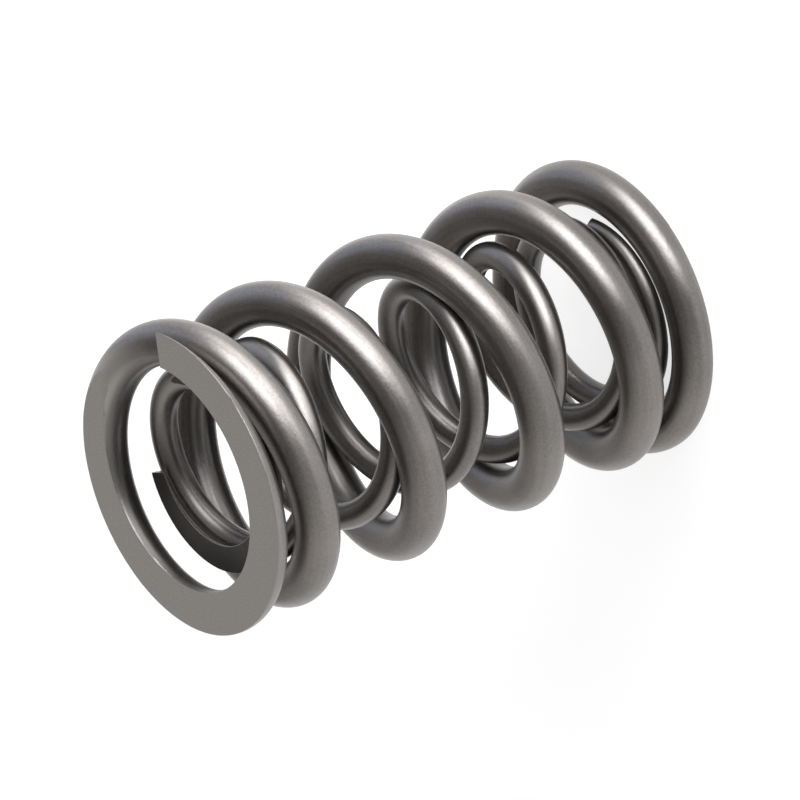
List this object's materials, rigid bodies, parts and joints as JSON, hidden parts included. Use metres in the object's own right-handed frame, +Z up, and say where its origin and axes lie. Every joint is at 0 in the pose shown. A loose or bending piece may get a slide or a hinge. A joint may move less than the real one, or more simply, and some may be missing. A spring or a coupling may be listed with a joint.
{
  "type": "double valve spring",
  "caption": "Double engine valve spring: a thick outer coil spring with a thinner, opposite-wound coil spring nested inside it, both with closed ends ground flat.",
  "frame": {"origin": "on the springs' common axis, at the lower ground face that stands on the spring seat", "axes": "+Z up along the coil axis towards the retainer end"},
  "size_m": [0.0329, 0.0331, 0.058],
  "materials": {
    "outer_wire": "satin, shot-peened",
    "inner_wire": "satin, shot-peened"
  },
  "bodies": {
    "root": {"outer_spring": "outer_wire", "inner_spring": "inner_wire"}
  },
  "joints": []
}
